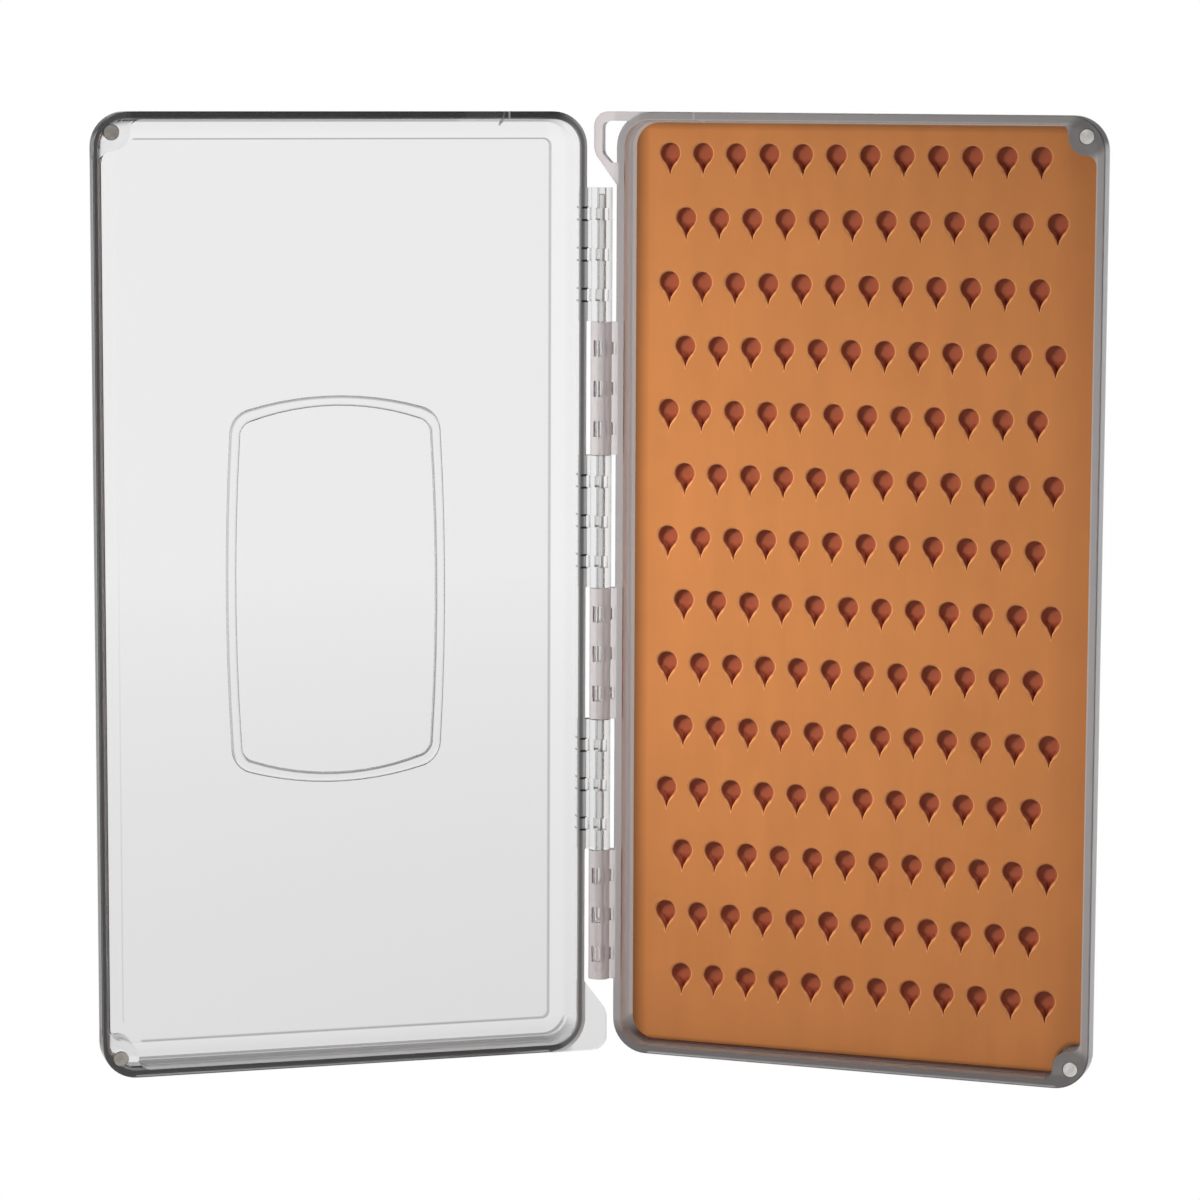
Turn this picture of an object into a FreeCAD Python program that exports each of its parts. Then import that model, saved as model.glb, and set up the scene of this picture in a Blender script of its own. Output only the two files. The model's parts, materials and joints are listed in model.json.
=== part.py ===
import FreeCAD, Part
import math
import os
import re
import Sketcher

# Slim hinged fly box standing open like a book on its lower ends.
#
# Each half is drawn flat in its own frame before it is placed:
#   X runs from the hinge axis towards the far wall (the lid is mirrored, so its X is negative),
#   Y runs from the parting plane, which holds the hinge axis, to the back of the half,
#   Z runs up the hinge axis from the lower ends.
# The placement then turns the lid about the hinge and centres the open box over the origin.

# Driving sizes in millimetres, and one angle in degrees
SIZES = {
    "case_height": 184.15,
    "case_width": 95.6,
    "corner_radius": 6.7,
    "rim_gap": 0.1,
    "rim_round": 0.3,
    "cut_overrun": 1.0,
    "lid_turn": 35.29,

    "base_depth": 9.2,
    "base_wall": 1.6,
    "base_edge_radius": 5.6,

    "lid_depth": 9.0,
    "lid_wall": 1.5,
    "lid_edge_radius": 5.2,
    "panel_step_inset": 5.3,
    "panel_step_depth": 0.3,
    "panel_step_corner": 1.5,

    "hinge_offset": 2.88,
    "knuckle_pitch": 25.87,
    "knuckle_gap": 0.16,
    "barrel_radius": 2.1,
    "base_window_height": 3.1,
    "lid_window_height": 2.3,
    "window_width": 1.8,
    "window_pitch": 7.8,
    "recess_height": 2.4,
    "recess_depth": 1.0,

    "pin_radius": 0.6,
    "pin_length": 141.9,
    "pin_top_drop": 1.3,
    "pin_chamfer": 0.15,
    "pin_running_clearance": 0.05,
    "pin_grip_clearance": 0.01,
    "bore_floor": 1.5,

    "magnet_radius": 1.5,
    "magnet_length": 3.0,
    "magnet_chamfer": 0.12,
    "magnet_clearance": 0.02,
    "magnet_side_inset": 3.5,
    "magnet_end_inset": 3.9,
    "post_radius": 3.5,
    "post_flare": 2.0,

    "lug_reach": 1.7,
    "lug_thickness": 1.8,
    "lug_corner": 2.8,
    "lug_straight": 7.8,
    "lug_bend": 4.0,
    "lug_height": 13.9,
    "strap_width": 1.7,
    "strap_end_width": 1.8,
    "loop_corner": 1.4,
    "loop_slant_start": 8.0,
    "loop_end": 9.8,
    "loop_foot": 1.2,
    "loop_bend": 1.5,

    "insert_thickness": 2.5,
    "insert_side_clearance": 0.7,
    "insert_clearance": 0.25,
    "adhesive_thickness": 0.2,
    "adhesive_inset": 9.0,
    "adhesive_corner": 2.0,

    "slit_first_side": 9.25,
    "slit_first_end": 7.95,
    "slit_column_pitch": 6.654,
    "slit_row_pitch": 12.357,
    "slit_head_radius": 2.05,
    "slit_head_depth": 1.3,
    "slit_lip": 0.2,
    "slit_shoulder": 1.5,
    "slit_tail": 4.45,
    "slit_tip_width": 0.2,
    "slit_flank_radius": 3.5,
    "slit_depth": 1.8,

    "plate_width": 41.1,
    "plate_height": 68.3,
    "plate_side_bulge": 1.1,
    "plate_end_bulge": 3.5,
    "plate_corner": 5.0,
    "plate_line_width": 2.0,
    "plate_line_height": 0.7,
    "plate_line_round": 0.65,
}

# How near two places count as one
SAME_PLACE = 0.0001

# Counts of what repeats
KNUCKLES_PER_HALF = 3
WINDOWS_PER_KNUCKLE = 3
SLIT_COLUMNS = 12
SLIT_ROWS = 14

# Each half: the sign of its X axis, the sizes it takes, and the place of its lowest knuckle
HALVES = {
    "base": {"side": 1, "depth": "base_depth", "wall": "base_wall", "edge": "base_edge_radius",
             "window": "base_window_height", "clearance": "pin_grip_clearance", "knuckle": 0},
    "lid": {"side": -1, "depth": "lid_depth", "wall": "lid_wall", "edge": "lid_edge_radius",
            "window": "lid_window_height", "clearance": "pin_running_clearance", "knuckle": 1},
}

LEFT = 1
RIGHT = -1

# Places that several pieces share, in the frame of a half
PARTING = "0"
FAR_WALL = "(hinge_offset + case_width)"
HINGE_FOOT = "(case_height / 2 - %d * knuckle_pitch)" % KNUCKLES_PER_HALF
PIN_FOOT = "(case_height - %s - pin_top_drop - pin_length)" % HINGE_FOOT
INSERT_BACK = "(base_depth - base_wall - adhesive_thickness)"
INSERT_FACE = "(%s - insert_thickness)" % INSERT_BACK

doc = FreeCAD.newDocument("fly_box")


# Sheet of sizes, and expressions over it

def fill_sheet():
    sheet = doc.addObject("Spreadsheet::Sheet", "Sizes")
    for row, (name, size) in enumerate(SIZES.items(), start=1):
        sheet.set("A%d" % row, name)
        sheet.set("B%d" % row, str(size))
        sheet.setAlias("B%d" % row, name)
    doc.recompute()


def bound(text):
    """The expression with every size's name pointed at its cell."""
    return re.sub(r"\b(%s)\b" % "|".join(SIZES), r"Sizes.\1", text)


def value(text):
    """What an expression over the sizes gives now."""
    return float(gauge.evalExpression(bound(text)))


def mirrored(side, text):
    return text if side > 0 else "-(%s)" % text


def from_end(upper, text):
    """A height measured from the lower end, or from the upper end."""
    return "(case_height - (%s))" % text if upper else "(%s)" % text


fill_sheet()
gauge = doc.addObject("App::FeaturePython", "Gauge")


# Sketches

def datum(body, role):
    return next(feature for feature in body.Origin.OriginFeatures if feature.Role == role)


def new_sketch(body, name, plane, offset):
    """A sketch on an origin plane, moved along the plane's positive axis by the offset.

    On XZ_Plane the sketch sees X and Z and the offset is a depth along Y;
    on XY_Plane it sees X and Y and the offset is a height along Z.
    """
    sketch = body.newObject("Sketcher::SketchObject", name)
    sketch.AttachmentSupport = [(datum(body, plane), "")]
    sketch.MapMode = "FlatFace"
    along = offset if plane == "XY_Plane" else "-(%s)" % offset
    sketch.setExpression("AttachmentOffset.Base.z", bound(along))
    return sketch


def hold(sketch, kind, geometry, position, text):
    """Hold one coordinate of a point to an expression."""
    constraint = Sketcher.Constraint(kind, -1, 1, geometry, position, value(text))
    number = sketch.addConstraint(constraint)
    sketch.setExpression("Constraints[%d]" % number, bound(text))


def hold_radius(sketch, geometry, text):
    number = sketch.addConstraint(Sketcher.Constraint("Radius", geometry, value(text)))
    sketch.setExpression("Constraints[%d]" % number, bound(text))


def short_arc(start, end, radius):
    """The short arc that runs anticlockwise from start to end."""
    chord = end - start
    right = FreeCAD.Vector(chord.y, -chord.x, 0)
    right.normalize()
    sagitta = radius - math.sqrt(max(radius ** 2 - chord.Length ** 2 / 4, 0))
    return Part.Arc(start, (start + end) / 2 + right * sagitta, end)


def draw_outline(sketch, corners, side=1):
    """A closed outline through corners (x, y) or (x, y, radius, turn).

    A radius and a turn make the edge that leaves that corner an arc.
    """
    points = [FreeCAD.Vector(value(mirrored(side, corner[0])), value(corner[1]), 0)
              for corner in corners]
    edges = []
    for index, corner in enumerate(corners):
        start = points[index]
        end = points[(index + 1) % len(points)]
        clockwise = len(corner) > 2 and corner[3] * side == RIGHT
        if len(corner) == 2:
            geometry = Part.LineSegment(start, end)
        elif clockwise:
            geometry = short_arc(end, start, value(corner[2]))
        else:
            geometry = short_arc(start, end, value(corner[2]))
        number = sketch.addGeometry(geometry, False)
        edges.append((number, 2, 1) if clockwise else (number, 1, 2))
    for index, (number, first, last) in enumerate(edges):
        following, next_first, _ = edges[(index + 1) % len(edges)]
        sketch.addConstraint(Sketcher.Constraint("Coincident", number, last, following, next_first))
    for (number, first, _), corner in zip(edges, corners):
        hold(sketch, "DistanceX", number, first, mirrored(side, corner[0]))
        hold(sketch, "DistanceY", number, first, corner[1])
        if len(corner) > 2:
            hold_radius(sketch, number, corner[2])


def draw_circle(sketch, x, y, radius):
    centre = FreeCAD.Vector(value(x), value(y), 0)
    number = sketch.addGeometry(Part.Circle(centre, FreeCAD.Vector(0, 0, 1), value(radius)), False)
    hold(sketch, "DistanceX", number, 3, x)
    hold(sketch, "DistanceY", number, 3, y)
    hold_radius(sketch, number, radius)


def rectangle(low_x, low_y, high_x, high_y):
    return [(low_x, low_y), (high_x, low_y), (high_x, high_y), (low_x, high_y)]


def inset_outline(inset, radius, side_inset=None):
    """The outline of a half drawn inwards, with a corner radius, anticlockwise.

    The inset holds for the ends, and for the sides too unless these have their own.
    """
    low_x = "(hinge_offset + %s)" % (side_inset or inset)
    high_x = "(%s - (%s))" % (FAR_WALL, side_inset or inset)
    low_z = "(%s)" % inset
    high_z = "(case_height - (%s))" % inset
    return [
        ("%s + (%s)" % (low_x, radius), low_z),
        ("%s - (%s)" % (high_x, radius), low_z, radius, LEFT),
        (high_x, "%s + (%s)" % (low_z, radius)),
        (high_x, "%s - (%s)" % (high_z, radius), radius, LEFT),
        ("%s - (%s)" % (high_x, radius), high_z),
        ("%s + (%s)" % (low_x, radius), high_z, radius, LEFT),
        (low_x, "%s - (%s)" % (high_z, radius)),
        (low_x, "%s + (%s)" % (low_z, radius), radius, LEFT),
    ]


def post_outline(upper, clearance):
    """Corner post round a magnet, with flares into both walls, out past the corner.

    It is worked out as distances in from the far wall and from the end of the half,
    and a clearance makes it larger all round.
    """
    post = "(post_radius + %s)" % clearance
    flare = "(post_flare - %s)" % clearance
    reach = "(post_radius + post_flare)"
    wall = "(base_wall + %s)" % clearance
    centre = "(base_wall + post_flare)"
    side_flare = ("(magnet_side_inset + sqrt(%s^2 - (%s - magnet_end_inset)^2))"
                  % (reach, centre))
    end_flare = ("(magnet_end_inset + sqrt(%s^2 - (%s - magnet_side_inset)^2))"
                 % (reach, centre))
    first_x = "magnet_side_inset + %s * (%s - magnet_side_inset) / %s" % (post, side_flare, reach)
    first_z = "magnet_end_inset + %s * (%s - magnet_end_inset) / %s" % (post, centre, reach)
    last_x = "magnet_side_inset + %s * (%s - magnet_side_inset) / %s" % (post, centre, reach)
    last_z = "magnet_end_inset + %s * (%s - magnet_end_inset) / %s" % (post, end_flare, reach)
    path = [
        ("-cut_overrun", "-cut_overrun"),
        (side_flare, "-cut_overrun"),
        (side_flare, wall, flare, RIGHT),
        (first_x, first_z, post, LEFT),
        (last_x, last_z, flare, RIGHT),
        (wall, end_flare),
        ("-cut_overrun", end_flare),
    ]
    turned = 1 if upper else -1
    return [("%s - (%s)" % (FAR_WALL, step[0]), from_end(upper, step[1]))
            + ((step[2], step[3] * turned) if len(step) > 2 else ())
            for step in path]


def bend_points(corner, slant_end, radius):
    """Where an arc starts and ends that rounds the corner between an upright and a slant."""
    across = "(%s - (%s))" % (slant_end[0], corner[0])
    along = "(%s - (%s))" % (slant_end[1], corner[1])
    length = "sqrt(%s^2 + %s^2)" % (across, along)
    trim = "(%s * (%s - %s) / %s)" % (radius, length, along, across)
    return (
        (corner[0], "%s - %s" % (corner[1], trim)),
        ("%s + %s * %s / %s" % (corner[0], trim, across, length),
         "%s + %s * %s / %s" % (corner[1], trim, along, length)),
    )


def lug_outline(upper, wall, pierced):
    """Lug that reaches past the hinge axis at one end of a half, rooted in its wall.

    Pierced, it is a strap round a loop; else it is a solid tab.
    """
    root = "hinge_offset + %s / 2" % wall
    root_radius = "corner_radius - %s / 2" % wall
    bend_start, bend_end = bend_points(("-lug_reach", "lug_straight"),
                                       ("hinge_offset", "lug_height"), "lug_bend")
    path = [
        ("hinge_offset + corner_radius", "0"),
        ("lug_corner - lug_reach", "0", "lug_corner", RIGHT),
        ("-lug_reach", "lug_corner"),
        bend_start + ("lug_bend", RIGHT),
        bend_end,
        ("hinge_offset", "lug_height"),
        (root, "lug_height"),
    ]
    if pierced:
        strap = "strap_width - lug_reach"
        arch = "sqrt((%s)^2 - (corner_radius - strap_end_width)^2)" % root_radius
        foot = ("hinge_offset - loop_foot", "loop_end")
        slant_end, slant_start = bend_points((strap, "loop_slant_start"), foot, "loop_bend")
        path += [
            (root, "loop_end"),
            foot,
            slant_start + ("loop_bend", LEFT),
            slant_end,
            (strap, "strap_end_width + loop_corner", "loop_corner", LEFT),
            ("%s + loop_corner" % strap, "strap_end_width"),
            ("hinge_offset + corner_radius - %s" % arch, "strap_end_width"),
        ]
    else:
        path += [
            (root, "corner_radius", root_radius, LEFT),
            ("hinge_offset + corner_radius", "%s / 2" % wall),
        ]
    turned = -1 if upper else 1
    return [(step[0], from_end(upper, step[1]))
            + ((step[2], step[3] * turned) if len(step) > 2 else ())
            for step in path]


def plate_outline(inset):
    """Barrel-sided rectangle in the middle of a half, drawn inwards by an inset."""
    half_width = "(plate_width / 2 - %s)" % inset
    half_height = "(plate_height / 2 - %s)" % inset
    end_radius = "(%s^2 + plate_end_bulge^2) / (2 * plate_end_bulge)" % half_width
    side_radius = "(%s^2 + plate_side_bulge^2) / (2 * plate_side_bulge)" % half_height
    middle_x = "(hinge_offset + case_width / 2)"
    middle_z = "(case_height / 2)"
    low_x = "%s - %s" % (middle_x, half_width)
    high_x = "%s + %s" % (middle_x, half_width)
    low_z = "%s - %s" % (middle_z, half_height)
    high_z = "%s + %s" % (middle_z, half_height)
    return [
        (low_x, low_z, end_radius, LEFT),
        (high_x, low_z, side_radius, LEFT),
        (high_x, high_z, end_radius, LEFT),
        (low_x, high_z, side_radius, LEFT),
    ]


# Features

def extrude(body, kind, name, sketch, length):
    """A Pad or a Pocket towards the positive side of its sketch's plane."""
    feature = body.newObject("PartDesign::" + kind, name)
    feature.Profile = sketch
    feature.setExpression("Length", bound(length))
    facing_back = sketch.AttachmentSupport[0][0].Role == "XZ_Plane"
    feature.Reversed = facing_back == (kind == "Pad")
    doc.recompute()
    return feature


def edges_between(shape, axis, low, high):
    """Names of the edges that reach exactly from low to high along an axis."""
    names = []
    for number, edge in enumerate(shape.Edges, start=1):
        box = edge.BoundBox
        starts = abs(getattr(box, axis + "Min") - low) < SAME_PLACE
        if starts and abs(getattr(box, axis + "Max") - high) < SAME_PLACE:
            names.append("Edge%d" % number)
    return names


def edges_at(shape, axis, *places):
    """Names of the edges that lie flat at any of the places along an axis."""
    return [name for place in places for name in edges_between(shape, axis, place, place)]


def soften(body, kind, name, edges, size):
    """A Fillet or a Chamfer of edges of the body as it stands."""
    feature = body.newObject("PartDesign::" + kind, name)
    feature.Base = (feature.BaseFeature, edges)
    feature.setExpression("Radius" if kind == "Fillet" else "Size", bound(size))
    doc.recompute()
    return feature


def repeat(body, name, features, *ways):
    """A linear pattern in one or two ways, each (axis role, reversed, count, spacing)."""
    pattern = body.newObject("PartDesign::LinearPattern", name)
    pattern.Originals = features
    for ending, (role, backwards, count, spacing) in zip(["", "2"], ways):
        setattr(pattern, "Direction" + ending, (datum(body, role), [""]))
        setattr(pattern, "Reversed" + ending, backwards)
        setattr(pattern, "Mode" + ending, "Extent")
        setattr(pattern, "Occurrences" + ending, count)
        pattern.setExpression("Length" + ending, bound("%d * (%s)" % (count - 1, spacing)))
    body.Tip = pattern
    doc.recompute()
    return pattern


def new_body(name):
    body = doc.addObject("PartDesign::Body", name)
    body.Label = name
    return body


def stand(body, side):
    """Place a piece in the open box: its half turned about the hinge, and the box centred."""
    lid_reach = ("((%s - lid_edge_radius) * cos(lid_turn * 1deg)"
                 " + (lid_depth - lid_edge_radius) * sin(lid_turn * 1deg)"
                 " + lid_edge_radius)" % FAR_WALL)
    lid_front = ("((%s - rim_round) * sin(lid_turn * 1deg)"
                 " - (rim_gap + rim_round) * cos(lid_turn * 1deg) + rim_round)" % FAR_WALL)
    if side < 0:
        body.Placement.Rotation = FreeCAD.Rotation(FreeCAD.Vector(0, 0, 1), value("lid_turn"))
        body.setExpression("Placement.Rotation.Angle", bound("lid_turn * 1deg"))
    body.setExpression("Placement.Base.x", bound("(%s - %s) / 2" % (lid_reach, FAR_WALL)))
    body.setExpression("Placement.Base.y", bound("(%s - base_depth) / 2" % lid_front))


# Pieces

def make_cavity(half):
    """The hollow of a half as a solid, with the magnet posts left out of it."""
    spec = HALVES[half]
    body = new_body(half + "_hollow")
    mouth = "rim_gap - cut_overrun"
    floor = "%s - %s" % (spec["depth"], spec["wall"])
    outline = new_sketch(body, half + "_hollow_outline", "XZ_Plane", mouth)
    draw_outline(outline, inset_outline(spec["wall"], "corner_radius - " + spec["wall"]),
                 spec["side"])
    extrude(body, "Pad", half + "_hollow_block", outline, "%s - (%s)" % (floor, mouth))
    soften(body, "Fillet", half + "_hollow_edges", edges_at(body.Tip.Shape, "Y", value(floor)),
           "%s - %s" % (spec["edge"], spec["wall"]))
    if half == "lid":
        step = new_sketch(body, "panel_step_outline", "XZ_Plane", floor + " - panel_step_depth")
        draw_outline(step, inset_outline("panel_step_inset", "panel_step_corner"), spec["side"])
        extrude(body, "Pad", "panel_step", step, "2 * panel_step_depth")
    for upper in (False, True):
        name = "%s_%s_post" % (half, "upper" if upper else "lower")
        post = new_sketch(body, name + "_outline", "XZ_Plane", mouth + " - cut_overrun")
        draw_outline(post, post_outline(upper, "0"), spec["side"])
        extrude(body, "Pocket", name, post, "%s + 3 * cut_overrun" % spec["depth"])
    return body


def make_shell(half, name):
    """Outer block of a half with round back edges, hollowed."""
    spec = HALVES[half]
    body = new_body(name)
    outline = new_sketch(body, half + "_outline", "XZ_Plane", "rim_gap")
    draw_outline(outline, inset_outline("0", "corner_radius"), spec["side"])
    extrude(body, "Pad", half + "_block", outline, spec["depth"] + " - rim_gap")
    soften(body, "Fillet", half + "_back_edges",
           edges_at(body.Tip.Shape, "Y", value(spec["depth"])), spec["edge"])
    soften(body, "Fillet", half + "_rim_edges",
           edges_at(body.Tip.Shape, "Y", value("rim_gap")), "rim_round")
    hollow = body.newObject("PartDesign::Boolean", half + "_hollowing")
    hollow.Type = "Cut"
    hollow.setObjects([make_cavity(half)])
    doc.recompute()
    return body


def add_lug(half, body):
    """Lanyard loop at the upper end of the base, or solid tab at the lower end of the lid."""
    spec = HALVES[half]
    pierced = half == "base"
    outline = new_sketch(body, half + "_lug_outline", "XZ_Plane", "rim_gap")
    draw_outline(outline, lug_outline(pierced, spec["wall"], pierced), spec["side"])
    extrude(body, "Pad", half + "_lug", outline, "lug_thickness")


def add_hinge(half, body):
    """Hinge knuckles with the pin's bore, the windows in front of it and the web recesses."""
    spec = HALVES[half]
    side = spec["side"]
    foot = "(%s + %d * knuckle_pitch + knuckle_gap / 2)" % (HINGE_FOOT, spec["knuckle"])
    middle = "(%s + (knuckle_pitch - knuckle_gap) / 2)" % foot
    root = "hinge_offset + %s / 2" % spec["wall"]
    front = "sqrt(barrel_radius^2 - rim_gap^2)"
    profile = new_sketch(body, half + "_knuckle_profile", "XY_Plane", foot)
    draw_outline(profile, [
        (root, "rim_gap"),
        (front, "rim_gap", "barrel_radius", RIGHT),
        ("0", "-barrel_radius", "barrel_radius", RIGHT),
        ("-barrel_radius", "0", "barrel_radius", RIGHT),
        ("0", "barrel_radius"),
        (root, "barrel_radius"),
    ], side)
    knuckle = extrude(body, "Pad", half + "_knuckle", profile, "knuckle_pitch - knuckle_gap")
    groups = ("Z_Axis", False, KNUCKLES_PER_HALF, "2 * knuckle_pitch")
    repeat(body, half + "_knuckles", [knuckle], groups)

    bore_foot = HINGE_FOOT + (" + bore_floor" if spec["knuckle"] == 0 else "")
    bore = new_sketch(body, half + "_bore_outline", "XY_Plane", bore_foot)
    draw_circle(bore, "0", "0", "pin_radius + " + spec["clearance"])
    extrude(body, "Pocket", half + "_bore", bore, "%d * knuckle_pitch" % (2 * KNUCKLES_PER_HALF))

    windows = ("Z_Axis", False, WINDOWS_PER_KNUCKLE, "window_pitch")
    lowest = "(%s - %d * window_pitch / 2)" % (middle, WINDOWS_PER_KNUCKLE - 1)
    window = new_sketch(body, half + "_window_outline", "XZ_Plane",
                        "-barrel_radius - cut_overrun")
    draw_outline(window, rectangle("-window_width / 2", "%s - %s / 2" % (lowest, spec["window"]),
                                   "window_width / 2", "%s + %s / 2" % (lowest, spec["window"])),
                 side)
    opening = extrude(body, "Pocket", half + "_window", window, "barrel_radius + cut_overrun")
    repeat(body, half + "_windows", [opening], windows, groups)

    recess = new_sketch(body, half + "_recess_outline", "XZ_Plane", PARTING)
    draw_outline(recess, rectangle("barrel_radius", lowest + " - recess_height / 2",
                                   "hinge_offset", lowest + " + recess_height / 2"), side)
    hollow = extrude(body, "Pocket", half + "_recess", recess, "rim_gap + recess_depth")
    repeat(body, half + "_recesses", [hollow], windows, groups)


def add_magnet_bores(half, body):
    side = HALVES[half]["side"]
    bores = new_sketch(body, half + "_magnet_bore_outlines", "XZ_Plane", PARTING)
    for upper in (False, True):
        draw_circle(bores, mirrored(side, FAR_WALL + " - magnet_side_inset"),
                    from_end(upper, "magnet_end_inset"), "magnet_radius + magnet_clearance")
    extrude(body, "Pocket", half + "_magnet_bores", bores, "rim_gap + magnet_length")


def add_plate(body):
    """Raised barrel-shaped line round the bare plate on the outside of the lid."""
    side = HALVES["lid"]["side"]
    outline = new_sketch(body, "plate_outline", "XZ_Plane", "lid_depth")
    draw_outline(outline, plate_outline("0"), side)
    draw_outline(outline, plate_outline("plate_line_width"), side)
    extrude(body, "Pad", "plate_line", outline, "plate_line_height")
    middle = value(mirrored(side, "hinge_offset + case_width / 2"))
    for name, inset in (("outer", "0"), ("inner", "plate_line_width")):
        shape = body.Tip.Shape
        reach = value("plate_width / 2 - " + inset)
        upright = edges_between(shape, "Y", value("lid_depth"),
                                value("lid_depth + plate_line_height"))
        corners = [edge for edge in upright
                   if abs(abs(shape.getElement(edge).CenterOfMass.x - middle) - reach) < SAME_PLACE]
        soften(body, "Fillet", "plate_%s_corners" % name, corners, "plate_corner - " + inset)
    tops = edges_at(body.Tip.Shape, "Y", value("lid_depth + plate_line_height"))
    soften(body, "Fillet", "plate_line_edges", tops, "plate_line_round")


def make_half(half, name):
    body = make_shell(half, name)
    add_lug(half, body)
    add_hinge(half, body)
    add_magnet_bores(half, body)
    if half == "lid":
        add_plate(body)
    stand(body, HALVES[half]["side"])
    return body


def make_pin():
    """Steel hinge pin, driven in from the top and gripped by the base's knuckles."""
    body = new_body("hinge_pin")
    outline = new_sketch(body, "pin_outline", "XY_Plane", PIN_FOOT)
    draw_circle(outline, "0", "0", "pin_radius")
    extrude(body, "Pad", "pin_rod", outline, "pin_length")
    ends = edges_at(body.Tip.Shape, "Z", value(PIN_FOOT), value(PIN_FOOT + " + pin_length"))
    soften(body, "Chamfer", "pin_ends", ends, "pin_chamfer")
    stand(body, 1)
    return body


def make_magnet(half, upper):
    """Round magnet, flush with the rim, in its post."""
    side = HALVES[half]["side"]
    name = "%s_magnet_%s" % (half, "upper" if upper else "lower")
    body = new_body(name)
    outline = new_sketch(body, name + "_outline", "XZ_Plane", "rim_gap")
    draw_circle(outline, mirrored(side, FAR_WALL + " - magnet_side_inset"),
                from_end(upper, "magnet_end_inset"), "magnet_radius")
    extrude(body, "Pad", name + "_disc", outline, "magnet_length")
    ends = edges_at(body.Tip.Shape, "Y", value("rim_gap"), value("rim_gap + magnet_length"))
    soften(body, "Chamfer", name + "_ends", ends, "magnet_chamfer")
    stand(body, side)
    return body


def cut_slit(body, number, across, height):
    """One slit: a round scoop with a soft lip, and a deeper tail that narrows downwards."""
    name = "slit_%d" % number
    bowl = "(slit_head_depth - slit_lip)"
    lip_depth = INSERT_FACE + " + slit_lip"
    ball_radius = "(slit_head_radius^2 + %s^2) / (2 * %s)" % (bowl, bowl)
    scoop_outline = new_sketch(body, name + "_scoop_outline", "XY_Plane", height)
    scoop_outline.setExpression("AttachmentOffset.Base.x", bound(across))
    draw_outline(scoop_outline, [
        ("0", INSERT_FACE + " + slit_head_depth", ball_radius, RIGHT),
        ("slit_head_radius", lip_depth, "slit_lip", LEFT),
        ("slit_head_radius + slit_lip", INSERT_FACE),
        ("slit_head_radius + slit_lip", INSERT_FACE + " - cut_overrun"),
        ("0", INSERT_FACE + " - cut_overrun"),
    ])
    scoop = body.newObject("PartDesign::Groove", name + "_scoop")
    scoop.Profile = scoop_outline
    scoop.ReferenceAxis = (scoop_outline, ["V_Axis"])
    doc.recompute()

    shoulder = "%s - sqrt(slit_head_radius^2 - slit_shoulder^2)" % height
    tip = height + " - slit_tail"
    tail_outline = new_sketch(body, name + "_tail_outline", "XZ_Plane",
                              INSERT_FACE + " - cut_overrun")
    draw_outline(tail_outline, [
        (across + " - slit_shoulder", shoulder, "slit_flank_radius", RIGHT),
        (across + " - slit_tip_width / 2", tip),
        (across + " + slit_tip_width / 2", tip, "slit_flank_radius", RIGHT),
        (across + " + slit_shoulder", shoulder),
    ])
    tail = extrude(body, "Pocket", name + "_tail", tail_outline, "slit_depth + cut_overrun")
    repeat(body, name + "_grid", [scoop, tail],
           ("X_Axis", False, SLIT_COLUMNS, "slit_column_pitch"),
           ("Z_Axis", True, SLIT_ROWS // 2, "2 * slit_row_pitch"))


def make_insert():
    """Silicone insert that fits the hollow of the base, with its two staggered grids of slits."""
    body = new_body("silicone_insert")
    inset = "base_wall + insert_clearance"
    outline = new_sketch(body, "insert_outline", "XZ_Plane", PARTING)
    draw_outline(outline, inset_outline(inset, "corner_radius - (%s)" % inset,
                                        "base_wall + insert_side_clearance"))
    extrude(body, "Pad", "insert_block", outline, INSERT_BACK)
    soften(body, "Fillet", "insert_edges", edges_at(body.Tip.Shape, "Y", value(INSERT_BACK)),
           "base_edge_radius - (%s)" % inset)
    front = new_sketch(body, "insert_front_outline", "XZ_Plane", "-cut_overrun")
    draw_outline(front, rectangle("0", "0", FAR_WALL, "case_height"))
    extrude(body, "Pocket", "insert_front", front, INSERT_FACE + " + cut_overrun")
    for upper in (False, True):
        name = "insert_%s_notch" % ("upper" if upper else "lower")
        notch = new_sketch(body, name + "_outline", "XZ_Plane", PARTING)
        draw_outline(notch, post_outline(upper, "insert_clearance"))
        extrude(body, "Pocket", name, notch, "base_depth")
    cut_slit(body, 1, "(hinge_offset + slit_first_side)", "(case_height - slit_first_end)")
    cut_slit(body, 2, "(hinge_offset + slit_first_side + slit_column_pitch / 2)",
             "(case_height - slit_first_end - slit_row_pitch)")
    stand(body, 1)
    return body


def make_adhesive():
    """Thin double-sided sheet between the insert and the floor of the base."""
    body = new_body("insert_adhesive")
    outline = new_sketch(body, "adhesive_outline", "XZ_Plane", INSERT_BACK)
    draw_outline(outline, inset_outline("adhesive_inset", "adhesive_corner"))
    extrude(body, "Pad", "adhesive_sheet", outline, "adhesive_thickness")
    stand(body, 1)
    return body


# The whole box

pieces = [
    make_half("base", "base_tray"),
    make_half("lid", "lid_cover"),
    make_pin(),
    make_insert(),
    make_adhesive(),
]
for half_name in HALVES:
    for at_top in (False, True):
        pieces.append(make_magnet(half_name, at_top))
doc.recompute()

for item in doc.Objects:
    if "Invalid" in item.State or "Error" in item.State:
        raise RuntimeError("%s failed: %s" % (item.Name, item.State))
for piece in pieces:
    if piece.Shape.isNull() or not piece.Shape.isValid() or len(piece.Shape.Solids) != 1:
        raise RuntimeError("%s is not one valid solid" % piece.Label)

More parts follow.
